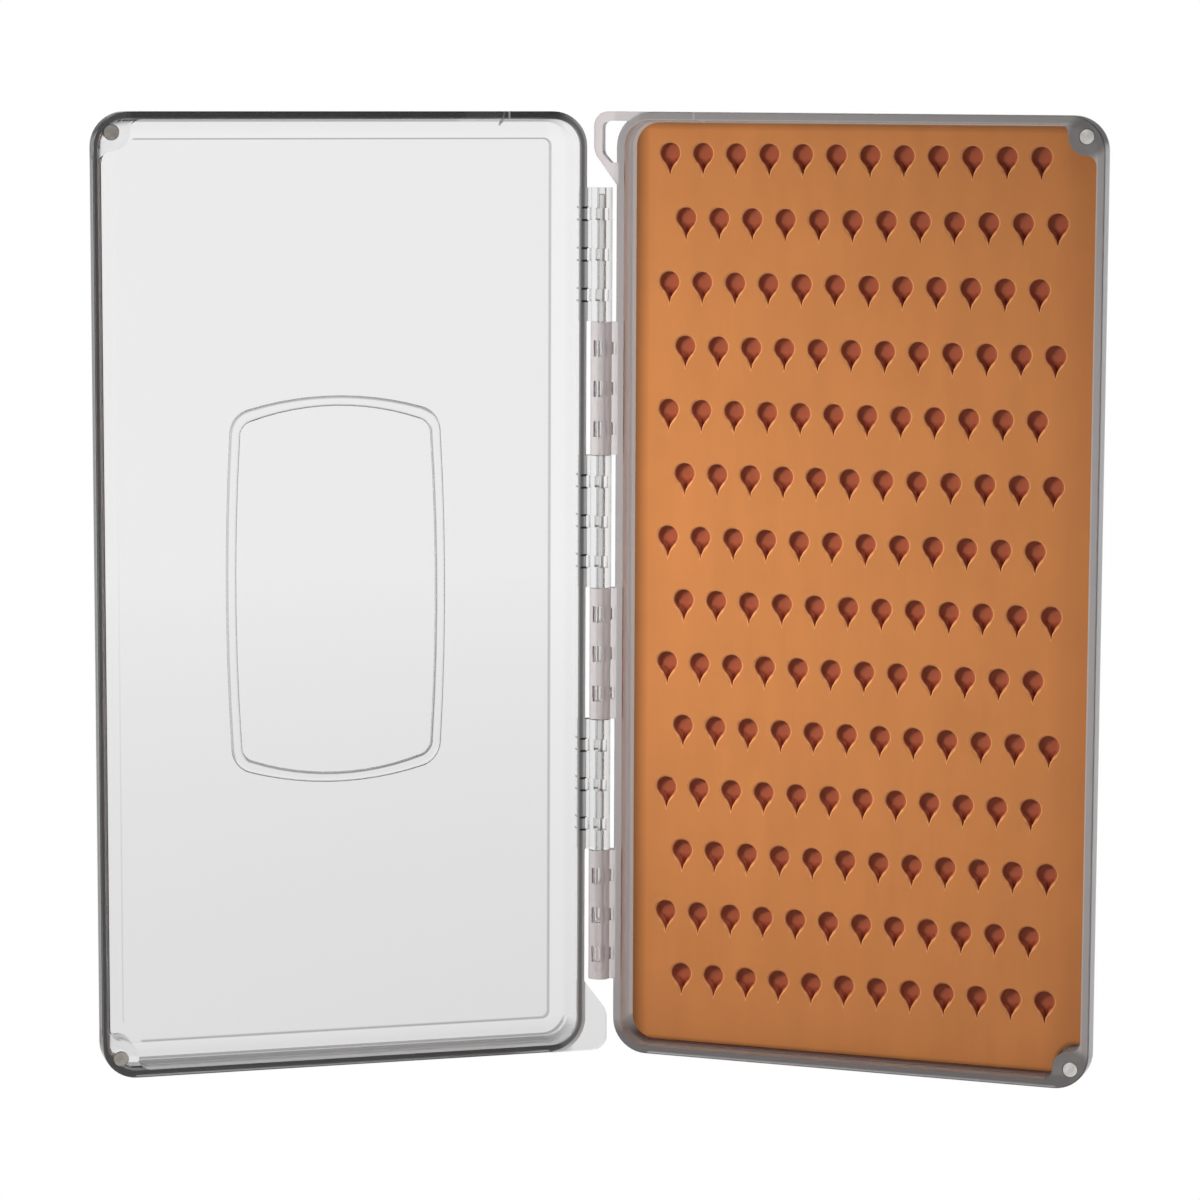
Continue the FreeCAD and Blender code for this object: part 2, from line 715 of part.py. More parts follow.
os.makedirs("parts", exist_ok=True)
for piece in pieces:
    piece.Shape.exportStep(os.path.join("parts", piece.Label + ".step"))
    box = piece.Shape.BoundBox
    print("%-20s volume %.2f x %.2f..%.2f y %.2f..%.2f z %.2f..%.2f" % (
        piece.Label, piece.Shape.Volume, box.XMin, box.XMax, box.YMin, box.YMax, box.ZMin, box.ZMax))
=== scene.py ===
import json
import math

import bmesh
import bpy
from bpy.props import FloatProperty, FloatVectorProperty, IntProperty, PointerProperty
from mathutils import Matrix, Vector


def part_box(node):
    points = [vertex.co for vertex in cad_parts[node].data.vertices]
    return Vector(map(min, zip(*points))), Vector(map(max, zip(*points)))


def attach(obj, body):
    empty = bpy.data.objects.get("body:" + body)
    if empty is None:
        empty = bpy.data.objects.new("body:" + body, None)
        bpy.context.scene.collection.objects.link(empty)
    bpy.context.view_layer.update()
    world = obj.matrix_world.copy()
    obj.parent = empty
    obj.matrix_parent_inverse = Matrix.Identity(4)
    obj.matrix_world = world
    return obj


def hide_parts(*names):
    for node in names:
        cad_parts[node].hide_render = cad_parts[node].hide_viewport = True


bl_info = {
    "name": "Slim fly box",
    "version": (1, 0, 0),
    "blender": (4, 5, 0),
    "location": "3D View > Sidebar > Fly Box",
    "description": "Finishes a hinged fly box with a clear lid, a smoke tray and a slotted insert",
    "category": "Object",
}

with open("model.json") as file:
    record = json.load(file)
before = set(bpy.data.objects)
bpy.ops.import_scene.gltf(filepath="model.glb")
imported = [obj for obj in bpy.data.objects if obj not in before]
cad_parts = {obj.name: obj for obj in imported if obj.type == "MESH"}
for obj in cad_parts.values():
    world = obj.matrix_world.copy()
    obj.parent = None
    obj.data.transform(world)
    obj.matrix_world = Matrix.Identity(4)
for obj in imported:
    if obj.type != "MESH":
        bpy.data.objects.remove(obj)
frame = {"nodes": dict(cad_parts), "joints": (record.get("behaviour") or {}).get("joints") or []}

NODES = frame["nodes"]
JOINT = frame["joints"][0]
HINGE = Vector(JOINT["pos_m"])
LID_TURN = -math.radians(JOINT["range_deg"][0])
INSERT_LOW, INSERT_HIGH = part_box("silicone_insert")
TRAY_LOW, TRAY_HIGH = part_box("base_tray")
CASE_HEIGHT = TRAY_HIGH.z - TRAY_LOW.z
FAR_WALL = TRAY_HIGH.x - HINGE.x

# The two halves, by the side of the hinge that they lie on
TRAY = 1
LID = -1

# From the hinge axis to the hinge wall, the corners' radius, and how far in from the far wall and
# from the end the magnets sit
HINGE_WALL = 0.00288
CORNER = 0.0067
MAGNET_SIDE = 0.0035
MAGNET_END = 0.0039

# The knuckles, and the small recesses in the lid's wall beside its own
KNUCKLES_PER_HALF = 3
KNUCKLE_PITCH = 0.02587
RECESS_PITCH = 0.0078
RECESS_HEIGHT = 0.0024
HINGE_FOOT = CASE_HEIGHT / 2 - KNUCKLES_PER_HALF * KNUCKLE_PITCH
LID_KNUCKLE = HINGE_FOOT + 1.5 * KNUCKLE_PITCH

# How far in the lid's panel steps up, and where across the upper rims are paler
STEP_INSET = 0.0053
GATE_SPAN = (0.0184, 0.0267)

# Middle of the lid's plate, across from the hinge axis and up, how far it reaches each way, and
# how far past that its raised line is shaded
PLATE = (HINGE_WALL + 0.0478, CASE_HEIGHT / 2)
PLATE_REACH = (0.02055, 0.03415)
PLATE_MARGIN = 0.003
PLATE_FADE = 0.001

# Where the mouldings change tone, in metres: in from the outline, across from the hinge axis, deep
# from the parting plane, up, or away from a magnet. A band is its middle, its reach to each side
# and its fade beyond that. A fade is where it starts and where it ends.
FRONT_EDGE = (0.0004, 0.0006)
RECESS_ENDS = (RECESS_HEIGHT / 2, 0.00016, 0.0001)
RECESS_GROUP = (0.0102, 0.0104)
RECESS_DEPTH = (0.0032, 0.0038)
RECESS_SIDE = (HINGE_WALL + 0.0004, 0.0006, 0.0002)
GATE_TOP = (CASE_HEIGHT - 0.0026, CASE_HEIGHT - 0.0022)
GATE_MIDDLE = (sum(GATE_SPAN) / 2, (GATE_SPAN[1] - GATE_SPAN[0]) / 2, 0.0002)
GATE_TICK = (GATE_SPAN[0], 0.0001, 0.0002)

BARRELS = (HINGE_WALL - 0.0008, HINGE_WALL)
TRAY_LOW_END = (0.004, CORNER)
TRAY_HIGH_END = (CASE_HEIGHT - 0.004, CASE_HEIGHT - 0.002)
TRAY_FAR_SIDE = (FAR_WALL - 0.004, FAR_WALL - 0.002)
TRAY_NEAR_SIDE = (HINGE_WALL + 0.004, HINGE_WALL + 0.005)
TRAY_OUTSIDE = (0.0003, 0.001)
TRAY_INSIDE = (0.0, 0.005)
TRAY_FLOOR = (0.0066, 0.0076)
TRAY_POST = (0.003, 0.0048)
INSERT_LINE = (0.0021, 0.0007, 0.0001)
INSERT_LINE_DEPTH = (0.0053, 0.0005, 0.0002)
INNER_RIM = (0.0016, 0.0002, 0.0001)
FOOT_END = (0.003, 0.0045)
FOOT_INSET = (0.0013, 0.0015)
FOOT_DEPTH = (0.0028, 0.0046)
FOOT_POST = (0.0045, 0.0055)

LID_AWAY = (HINGE_WALL + 0.002, HINGE_WALL + CORNER)
LID_EDGE_FADE = (-0.0002, 0.0001)
LID_FAR_SIDE = (FAR_WALL - 0.008, FAR_WALL - 0.006)
LID_LOW_END = (0.004, 0.006)
LEDGE = (0.0008, 0.0009, 0.0001)
GROOVE = (0.0009, 0.0002, 0.0003)
LOWER_WALL = (0.0017, 0.0002, 0.0001)
STEP_LINE = (STEP_INSET, 0.00008, 0.00012)
STEP_POST = (0.0052, 0.0058)
STEP_HEIGHT = (0.03, 0.12)
PANEL = (STEP_INSET, STEP_INSET + 0.0002)

# Where the insert's hollows change tone, by depth
LIP_FADE = (0.000005, 0.00005)
BOWL_FADE = (0.0001, 0.0004)

# How much light reaches the tray's walls and the insert's face: the two ends of a fade, and the
# share of the light at each
OUTSIDE_SHARES = (*TRAY_OUTSIDE, 0.25, 1.0)
INSIDE_SHARES = (*TRAY_INSIDE, 0.5, 0.7)
SHADE_BY_HINGE = (0.0, 0.0028, 0.4, 1.0)
SHADE_BY_FAR_WALL = (0.001, 0.008, 0.82, 1.0)
SHADE_ABOVE = (0.0, 0.0015, 0.55, 1.0)
SHADE_BELOW = (0.0, 0.0008, 0.5, 1.0)
SHADE_BY_MAGNET = (0.0038, 0.0046, 0.45, 1.0)

# How the lid's lines weaken: the step line up its far side, and the plate's line by how far it
# leans to the light, which comes across and down, and by how near the plate's corner it lies
STEP_LOSS = (*STEP_HEIGHT, 0.6, 0.95)
LINE_LIGHT = (0.6, 0.8)
LINE_LEAN = (0.02, 0.12)
LINE_SHARES = (0.3, 1.0, 0.45, 0.85)

# Tones, as shares of a piece's colour
CLOUD_TONES = (0.96, 1.04)
# painted light: the tray's knuckle barrels made paler
BARREL_LIGHT_TONE = 1.4
LIT_TONE = 1.35
# painted shade round the tray's magnet posts
POST_SHADE_TONE = 0.5
# painted shade at the tray's lower end
LOW_SHADE_TONE = 0.56
PANEL_TONE = 0.97
# painted shade on the line at the lid's panel step
STEP_SHADE_TONE = 0.5
GATE_TONE = 1.5
MOTTLE_TONES = (0.95, 1.04)
METAL_TONE = 0.8

# How much light scatters at the lid's ledge and lower wall, and how clear the line by the insert is
LEDGE_HAZE = 0.9
LOWER_HAZE = 0.6
INSERT_LINE_CLARITY = 0.95

# Plain colours, and what a metre of plastic lets through
BLACK = (0.0, 0.0, 0.0, 1.0)
WHITE = (1.0, 1.0, 1.0, 1.0)
# painted shade, warm with a painted reflection of the insert
FOOT_SHADE_COLOUR = (0.14, 0.06, 0.045, 1.0)
# painted highlight on the lid's ledge and rim tick
LID_HIGHLIGHT_COLOUR = (0.95, 0.95, 0.95, 1.0)
# painted shade in the lid's ledge groove
GROOVE_SHADE_COLOUR = (0.4, 0.4, 0.4, 1.0)
# painted shade at the ends of the lid's recesses
RECESS_SHADE_COLOUR = (0.03, 0.03, 0.03, 1.0)
SMOKE_INSIDE = (0.42, 0.38, 0.39, 1.0)
CLEAR_INSIDE = (0.5, 0.5, 0.5, 1.0)
ADHESIVE_COLOURS = ((0.74, 0.71, 0.63, 1.0), (0.84, 0.82, 0.76, 1.0))
FLOOR_COLOUR = (0.86, 0.86, 0.86, 1.0)
ROOM_COLOUR = (0.82, 0.83, 0.85, 1.0)

# How near two places count as one
MERGE = 0.000002

# How far in from the insert's outline its rim and its corner notches reach, and a depth that none
# of its hollows reaches
RIM_REACH = 0.0034
NOTCH_REACH = 0.0078
HOLLOW_REACH = 0.0022

# Sides of a slit's outline, and for each of its vertices from the lowest up: how far it is pulled
# down to shape the tail, as a share of the lowest one's pull, and the share of its width it keeps
PLUG_SIDES = 20
TAIL_SHARES = ((1.0, 1.0), (0.446, 0.474), (0.142, 0.724), (0.056, 0.94))

# The bowl's steps inwards: a share of its depth, and the share of its width and height it keeps
BOWL_SHARES = ((0.7, 0.9, 0.96), (0.3, 0.7, 0.85))

# The tail's steps inwards: a share of how much deeper than the bowl it is, and how high each ends,
# as a share of the head's radius
SINK_SHARES = ((0.4, -0.6), (0.6, -0.9))

# How many times wider than deep the lip is, and how many times as high it makes the slit and as
# wide the tail
LIP_SLOPE = 3
LIP_HEIGHT_SHARE = 1.09
LIP_TAIL_SHARE = 1.5

SMOOTH_ANGLE = math.radians(58)

# The soft lights: name, place, size and share of the key light's power
SOFT_LIGHTS = (
    ("key", (-0.5, -0.75, 0.7), 0.35, 1.0),
    ("fill", (0.9, -0.6, 0.4), 0.8, 0.3),
    ("top", (0.0, 0.1, 1.2), 0.9, 1.0),
)

# The small light close to the tray, and where on the insert it points
NEAR_PLACE = (-0.14, -0.25, 0.24)
NEAR_SIZE = 0.07
NEAR_SPREAD = math.radians(60)
NEAR_TARGET = (0.02, 0.0287, 0.075)

# What is seen by a ray that clear plastic bends: fades by how steeply it runs, how straight to the
# back and how far out it meets the floor, with the share of white at each end
STEEP_SHARES = (0.27, 0.6, 1.0, 0.22)
ASIDE_SHARES = (0.4, 0.8, 0.75, 1.0)
FLOOR_SHARES = (0.0, 0.8, 0.8, 1.0)

# What is mirrored: the room's walls from side to front, and how the room darkens upwards
WALL_SHARES = (0.55, 0.9, 0.15, 0.9)
ABOVE_SHARES = (0.03, 0.12, 1.0, 0.3)
ROOM_STRENGTH = 0.16


# Node building

class Tree:
    """A new material's node tree, or the world's, with short calls to add and wire its nodes."""

    def __init__(self, owner):
        kind = "World"
        if isinstance(owner, str):
            kind = "Material"
            owner = bpy.data.materials.new(owner)
            owner.use_nodes = True
        self.material = owner
        self.nodes = owner.node_tree.nodes
        self.links = owner.node_tree.links
        self.nodes.clear()
        self.output = self.nodes.new("ShaderNodeOutput" + kind)

    def give(self, socket, given):
        """Links a socket to another node's output, or sets it to a plain value."""
        if isinstance(given, bpy.types.NodeSocket):
            self.links.new(given, socket)
        else:
            socket.default_value = given

    def add(self, kind, inputs=None, **settings):
        node = self.nodes.new("ShaderNode" + kind)
        for name, setting in settings.items():
            setattr(node, name, setting)
        for name, given in (inputs or {}).items():
            self.give(node.inputs[name], given)
        return node

    def place(self):
        """Where a point lies on the piece, in metres."""
        return self.add("TexCoord").outputs["Object"]

    def in_half(self, side):
        """How far a point lies across its half from the hinge axis, how deep in it and how high."""
        turn = LID_TURN if side == LID else 0.0
        local = self.add("Mapping", {"Vector": self.place(), "Location": (HINGE.x, HINGE.y, 0),
                                     "Rotation": (0, 0, turn)}, vector_type="TEXTURE")
        split = self.add("SeparateXYZ", {"Vector": local.outputs["Vector"]}).outputs
        return self.math("MULTIPLY", split["X"], side), split["Y"], split["Z"]

    def from_edge(self, side):
        """Distance in from the round-cornered outline of a half."""
        across, _, height = self.in_half(side)
        sides = self.math("MINIMUM", self.math("SUBTRACT", across, HINGE_WALL),
                          self.math("SUBTRACT", FAR_WALL, across))
        ends = self.math("MINIMUM", height, self.math("SUBTRACT", CASE_HEIGHT, height))
        beside = self.maximum(self.math("SUBTRACT", CORNER, sides), 0.0)
        along = self.maximum(self.math("SUBTRACT", CORNER, ends), 0.0)
        return self.math("SUBTRACT", CORNER, self.length(beside, along))

    def length(self, first, second):
        return self.math("SQRT", self.math("ADD", self.math("MULTIPLY", first, first),
                                           self.math("MULTIPLY", second, second)))

    def from_magnet(self, side):
        """Distance from the axis of the nearest corner magnet of a half."""
        across, _, height = self.in_half(side)
        beside = self.math("SUBTRACT", across, FAR_WALL - MAGNET_SIDE)
        middle = self.math("ABSOLUTE", self.math("SUBTRACT", height, CASE_HEIGHT / 2))
        along = self.math("SUBTRACT", middle, CASE_HEIGHT / 2 - MAGNET_END)
        return self.length(beside, along)

    def at_recess_ends(self, across, depth, height):
        """One at the upper and lower ends of the small recesses beside the lid's knuckles, where
        dashes of painted shade go.
        """
        knuckle = self.math("PINGPONG", self.math("SUBTRACT", height, LID_KNUCKLE), KNUCKLE_PITCH)
        recess = self.math("PINGPONG", knuckle, RECESS_PITCH / 2)
        return self.product(self.band(recess, *RECESS_ENDS),
                            self.falling(knuckle, RECESS_GROUP),
                            self.rising(height, (HINGE_FOOT - MERGE, HINGE_FOOT)),
                            self.falling(depth, RECESS_DEPTH),
                            self.band(across, *RECESS_SIDE))

    def line_shade(self, across, height):
        """What the raised line round the plate lets through, seen from within the plastic: less
        where it leans up and away from the hinge, most so by the plate's lower hinge corner."""
        normal = self.add("Mapping", {"Vector": self.add("TexCoord").outputs["Normal"],
                                      "Rotation": (0, 0, LID_TURN)}, vector_type="TEXTURE")
        lean = self.add("SeparateXYZ", {"Vector": normal.outputs["Vector"]}).outputs
        within = self.add("NewGeometry").outputs["Backfacing"]
        towards = self.product(
            self.math("SUBTRACT", self.math("MULTIPLY", lean["Z"], LINE_LIGHT[1]),
                      self.math("MULTIPLY", lean["X"], LINE_LIGHT[0])),
            self.ranged(within, 0.0, 1.0, 0.0, -1.0))
        beside = self.falling(across, (PLATE[0] - PLATE_REACH[0], PLATE[0] + PLATE_REACH[0]))
        below = self.falling(height, (PLATE[1] - PLATE_REACH[1], PLATE[1] + PLATE_REACH[1]))
        corner = self.math("MULTIPLY", self.math("ADD", beside, below), 0.5)
        on_plate = self.product(
            self.band(across, PLATE[0], PLATE_REACH[0] + PLATE_MARGIN, PLATE_FADE),
            self.band(height, PLATE[1], PLATE_REACH[1] + PLATE_MARGIN, PLATE_FADE))
        return self.left_by(self.product(self.rising(towards, LINE_LEAN), on_plate,
                                         self.ranged(corner, *LINE_SHARES)))

    def gate_mark(self, across, height):
        """The paler stretch of the upper rim of a half, and the bright tick that ends it."""
        on_top = self.rising(height, GATE_TOP)
        return (self.product(self.band(across, *GATE_MIDDLE), on_top),
                self.product(self.band(across, *GATE_TICK), on_top))

    def band(self, number, middle, reach, fade):
        """One within a reach of the middle, fading to none beyond it."""
        beside = self.math("ABSOLUTE", self.math("SUBTRACT", number, middle))
        return self.falling(beside, (reach, reach + fade))

    def rising(self, number, fade, smooth=False):
        """None before a fade and one after it."""
        return self.ranged(number, *fade, 0.0, 1.0, smooth)

    def falling(self, number, fade, smooth=False):
        """One before a fade and none after it."""
        return self.ranged(number, *fade, 1.0, 0.0, smooth)

    def left_by(self, share):
        """What a share leaves of one."""
        return self.math("SUBTRACT", 1.0, share)

    def product(self, first, *others):
        for other in others:
            first = self.math("MULTIPLY", first, other)
        return first

    def maximum(self, first, *others):
        for other in others:
            first = self.math("MAXIMUM", first, other)
        return first

    def axis(self, vector, name):
        return self.add("SeparateXYZ", {"Vector": vector}).outputs[name]

    def noise(self, vector, scale, detail):
        return self.add("TexNoise", {"Vector": vector, "Scale": scale, "Detail": detail,
                                     "Roughness": 0.5}).outputs["Fac"]

    def ranged(self, number, low, high, start, end, smooth=False):
        node = self.add("MapRange", {"Value": number, "From Min": low, "From Max": high,
                                     "To Min": start, "To Max": end},
                        interpolation_type="SMOOTHSTEP" if smooth else "LINEAR")
        return node.outputs["Result"]

    def math(self, operation, first, second=0.0):
        node = self.add("Math", operation=operation)
        for socket, given in zip(node.inputs, (first, second)):
            self.give(socket, given)
        return node.outputs["Value"]

    def blend(self, factor, first, second):
        node = self.add("Mix", data_type="RGBA")
        for index, given in zip((0, 6, 7), (factor, first, second)):
            self.give(node.inputs[index], given)
        return node.outputs[2]

    def bump(self, height, distance, strength):
        return self.add("Bump", {"Height": height, "Distance": distance,
                                 "Strength": strength}).outputs["Normal"]

    def absorb(self, colour, density):
        """Lets the plastic darken with its thickness."""
        inside = self.add("VolumeAbsorption", {"Color": colour, "Density": density})
        self.links.new(inside.outputs[0], self.output.inputs["Volume"])

    def surface(self, shader):
        self.links.new(shader.outputs[0], self.output.inputs["Surface"])
        return self.material


def solid(colour):
    return (*colour, 1.0)


def toned(colour, share):
    """A darker or paler tone of a colour."""
    return solid(tuple(min(1, c * share) for c in colour))


def dress(name, material):
    """Gives a carried-over node its finish on every face."""
    finishes = NODES[name].data.materials
    finishes.clear()
    finishes.append(material)


# Picking by place

def pick_object(context, piece):
    bpy.ops.object.select_all(action="DESELECT")
    piece.select_set(True)
    context.view_layer.objects.active = piece


def select_parts(piece, parts, wanted):
    """Selects in edit mode just the vertices, edges or faces that are wanted."""
    bpy.ops.mesh.select_all(action="DESELECT")
    mesh = bmesh.from_edit_mesh(piece.data)
    for part in getattr(mesh, parts):
        if wanted(part):
            part.select_set(True)
    mesh.select_flush_mode()
    bmesh.update_edit_mesh(piece.data)


def select_vertices(piece, wanted):
    select_parts(piece, "verts", lambda vertex: wanted(vertex.co))


def select_edges(piece, wanted):
    select_parts(piece, "edges", lambda edge: all(wanted(end.co) for end in edge.verts))


def select_faces(piece, wanted):
    select_parts(piece, "faces", lambda face: wanted(face.calc_center_median()))


# Settings

class FLYBOX_PG_plastic(bpy.types.PropertyGroup):
    clear_colour: FloatVectorProperty(
        name="Clear colour", description="Tint of the clear lid",
        subtype="COLOR", size=3, min=0, max=1, default=(0.89, 0.89, 0.89))
    clear_depth: FloatProperty(
        name="Clear density",
        description="How fast the clear plastic darkens with thickness, per metre",
        default=24.0, min=0)
    # Painted shade on the clear lid's side walls, for the dark that the bent view shows there
    clear_edge_shade: FloatVectorProperty(
        name="Clear edge colour", description="Darker tint of the clear lid's side walls",
        subtype="COLOR", size=3, min=0, max=1, default=(0.36, 0.355, 0.36))
    edge_haze: FloatProperty(
        name="Edge haze", description="Share of the light that the lid's side walls scatter",
        subtype="FACTOR", default=0.2, min=0, max=1)
    # How far in the painted shade of the side walls reaches
    edge_width: FloatProperty(
        name="Edge width", description="How far in the darker tint of the side walls reaches",
        subtype="DISTANCE", unit="LENGTH", default=0.0014, min=0)
    smoke_colour: FloatVectorProperty(
        name="Smoke colour", description="Body colour of the translucent tray",
        subtype="COLOR", size=3, min=0, max=1, default=(0.70, 0.655, 0.65))
    # A painted highlight on the tray's inner edges, warm from a painted reflection of the insert
    smoke_highlight: FloatVectorProperty(
        name="Smoke catch colour", description="Paler tone of the inner edges beside the insert",
        subtype="COLOR", size=3, min=0, max=1, default=(0.98, 0.86, 0.76))
    smoke_clarity: FloatProperty(
        name="Smoke clarity", description="Share of the light that passes the tray's plastic",
        subtype="FACTOR", default=0.6, min=0, max=1)
    smoke_depth: FloatProperty(
        name="Smoke density",
        description="How fast the smoke plastic darkens with thickness, per metre",
        default=200.0, min=0)
    gloss: FloatProperty(
        name="Roughness", description="Roughness of the moulded faces",
        subtype="FACTOR", default=0.06, min=0, max=1)


class FLYBOX_PG_insert(bpy.types.PropertyGroup):
    face_colour: FloatVectorProperty(
        name="Face colour", description="Colour of the silicone face",
        subtype="COLOR", size=3, min=0, max=1, default=(0.58, 0.218, 0.066))
    # A painted highlight on each slit's lip, beside the real light its rounding catches
    lip_highlight_colour: FloatVectorProperty(
        name="Lip colour", description="Paler colour at the lip of each slit",
        subtype="COLOR", size=3, min=0, max=1, default=(0.74, 0.33, 0.13))
    # Painted shade in each slit's bowl, on top of the real shading of its walls
    bowl_shade_colour: FloatVectorProperty(
        name="Bowl colour", description="Colour of the bowl at the head of each slit",
        subtype="COLOR", size=3, min=0, max=1, default=(0.4, 0.1, 0.045))
    # Painted shade deep in each slit's tail
    slit_shade_colour: FloatVectorProperty(
        name="Slit colour", description="Deep colour at the foot of the slits",
        subtype="COLOR", size=3, min=0, max=1, default=(0.14, 0.012, 0.002))
    slit_columns: IntProperty(
        name="Slit columns", description="How many slits stand in a row", default=12, min=1)
    slit_rows: IntProperty(
        name="Slit rows", description="How many staggered rows of slits there are",
        default=14, min=1)
    column_pitch: FloatProperty(
        name="Column pitch", description="Distance from slit to slit in a row",
        subtype="DISTANCE", unit="LENGTH", default=0.006654, min=0)
    row_pitch: FloatProperty(
        name="Row pitch", description="Distance from row to row",
        subtype="DISTANCE", unit="LENGTH", default=0.012357, min=0)
    first_side: FloatProperty(
        name="First column", description="From the tray's hinge side to the first slit",
        subtype="DISTANCE", unit="LENGTH", default=0.00925, min=0)
    first_end: FloatProperty(
        name="First row", description="From the tray's upper end to the heads of the first row",
        subtype="DISTANCE", unit="LENGTH", default=0.00795, min=0)
    head_radius: FloatProperty(
        name="Head radius", description="Radius of the round head of a slit",
        subtype="DISTANCE", unit="LENGTH", default=0.00205, min=0)
    tail: FloatProperty(
        name="Tail", description="From the centre of the head down to the tip of the slit",
        subtype="DISTANCE", unit="LENGTH", default=0.00445, min=0)
    lip: FloatProperty(
        name="Lip", description="Width of the soft lip round a slit",
        subtype="DISTANCE", unit="LENGTH", default=0.0003, min=0)
    bowl_depth: FloatProperty(
        name="Bowl depth", description="How far a slit's bowl reaches below the foot of its lip",
        subtype="DISTANCE", unit="LENGTH", default=0.0014, min=0)
    slit_depth: FloatProperty(
        name="Slit depth", description="How far a slit's tail reaches below the foot of its lip",
        subtype="DISTANCE", unit="LENGTH", default=0.0018, min=0)


class FLYBOX_PG_metal(bpy.types.PropertyGroup):
    pin_colour: FloatVectorProperty(
        name="Pin colour", description="Colour of the steel hinge pin",
        subtype="COLOR", size=3, min=0, max=1, default=(0.95, 0.95, 0.96))
    magnet_colour: FloatVectorProperty(
        name="Tray magnet colour", description="Colour of the tray's plated magnets",
        subtype="COLOR", size=3, min=0, max=1, default=(0.78, 0.76, 0.72))
    lid_magnet_colour: FloatVectorProperty(
        name="Lid magnet colour", description="Colour of the lid's duller magnets",
        subtype="COLOR", size=3, min=0, max=1, default=(0.76, 0.7, 0.64))


class FLYBOX_PG_stage(bpy.types.PropertyGroup):
    camera_place: FloatVectorProperty(
        name="Camera place", description="Where the camera stands",
        subtype="TRANSLATION", unit="LENGTH", size=3, default=(0.26773, -0.75665, 0.19562))
    camera_turn: FloatProperty(
        name="Camera turn", description="Turn of the camera about the vertical",
        subtype="ANGLE", unit="ROTATION", default=math.radians(19.43))
    camera_pitch: FloatProperty(
        name="Camera pitch", description="How far the camera looks down",
        subtype="ANGLE", unit="ROTATION", default=0.1275)
    camera_roll: FloatProperty(
        name="Camera roll", description="Roll of the camera about its line of sight",
        subtype="ANGLE", unit="ROTATION", default=0.0040)
    lens: FloatProperty(
        name="Lens", description="Focal length on a 36 mm wide sensor",
        subtype="DISTANCE_CAMERA", default=128.46, min=1)
    key_power: FloatProperty(
        name="Key power", description="Power of the large soft light",
        subtype="POWER", unit="POWER", default=1.9, min=0)
    near_power: FloatProperty(
        name="Near power", description="Power of the small light close to the tray",
        subtype="POWER", unit="POWER", default=0.13, min=0)


# Operators

class FLYBOX_OT_tray(bpy.types.Operator):
    """Finish the smoke tray in translucent moulded plastic"""
    bl_idname = "flybox.tray"
    bl_label = "Smoke Tray"

    def execute(self, context):
        plastic = context.scene.flybox_plastic
        smoke = plastic.smoke_colour
        tree = Tree("smoke_plastic")
        place = tree.place()
        cloud = tree.noise(place, scale=35.0, detail=2.0)
        body = tree.blend(tree.rising(cloud, (0.3, 0.7)),
                          *(toned(smoke, tone) for tone in CLOUD_TONES))
        across, depth, height = tree.in_half(TRAY)
        inwards = tree.from_edge(TRAY)
        magnet = tree.from_magnet(TRAY)
        # painted light: the tray's knuckle barrels paler than the rest of the tray
        body = tree.blend(tree.falling(across, BARRELS), body, toned(smoke, BARREL_LIGHT_TONE))
        low = tree.falling(height, TRAY_LOW_END)
        high = tree.rising(height, TRAY_HIGH_END)
        far = tree.rising(across, TRAY_FAR_SIDE)
        # painted light: the far wall's outside and the hinge wall's inside made paler
        lit_outside = tree.product(far, tree.ranged(depth, *OUTSIDE_SHARES))
        near = tree.product(tree.falling(across, TRAY_NEAR_SIDE),
                            tree.ranged(depth, *INSIDE_SHARES),
                            tree.falling(depth, TRAY_FLOOR))
        body = tree.blend(tree.maximum(lit_outside, near), body, toned(smoke, LIT_TONE))
        # painted highlight: a warm line on the wall beside the insert, on the inner rim's front
        # edge and at the tick on the upper rim
        insert_line_highlight = tree.product(tree.band(inwards, *INSERT_LINE),
                                     tree.band(depth, *INSERT_LINE_DEPTH), tree.left_by(low))
        inner_rim_highlight = tree.product(tree.band(inwards, *INNER_RIM), tree.falling(depth, FRONT_EDGE),
                                 tree.maximum(high, far))
        _, tick = tree.gate_mark(across, height)
        colour = tree.blend(tree.maximum(insert_line_highlight, inner_rim_highlight, tick), body,
                            solid(plastic.smoke_highlight))
        # painted shade: the tray darker round each magnet post
        post = tree.falling(magnet, TRAY_POST, smooth=True)
        colour = tree.blend(post, colour, toned(smoke, POST_SHADE_TONE))
        # painted shade: the tray's lower end darker
        colour = tree.blend(low, colour, toned(smoke, LOW_SHADE_TONE))
        # painted shade and painted reflection of the insert: the lower wall's inner face dark brown
        foot = tree.product(tree.falling(height, FOOT_END), tree.rising(inwards, FOOT_INSET),
                            tree.rising(depth, FOOT_DEPTH), tree.rising(magnet, FOOT_POST))
        colour = tree.blend(foot, colour, FOOT_SHADE_COLOUR)
        clarity = tree.ranged(tree.maximum(lit_outside, foot), 0.0, 1.0,
                              plastic.smoke_clarity, plastic.smoke_clarity / 2)
        clarity = tree.maximum(clarity, tree.product(insert_line_highlight, INSERT_LINE_CLARITY))
        ripple = tree.noise(place, scale=420.0, detail=2.0)
        shader = tree.add("BsdfPrincipled", {
            "Base Color": colour, "Roughness": plastic.gloss * 2, "IOR": 1.52,
            "Transmission Weight": clarity,
            "Normal": tree.bump(ripple, distance=0.00002, strength=0.4)})
        tree.absorb(SMOKE_INSIDE, plastic.smoke_depth)
        dress("base_tray", tree.surface(shader))
        return {"FINISHED"}


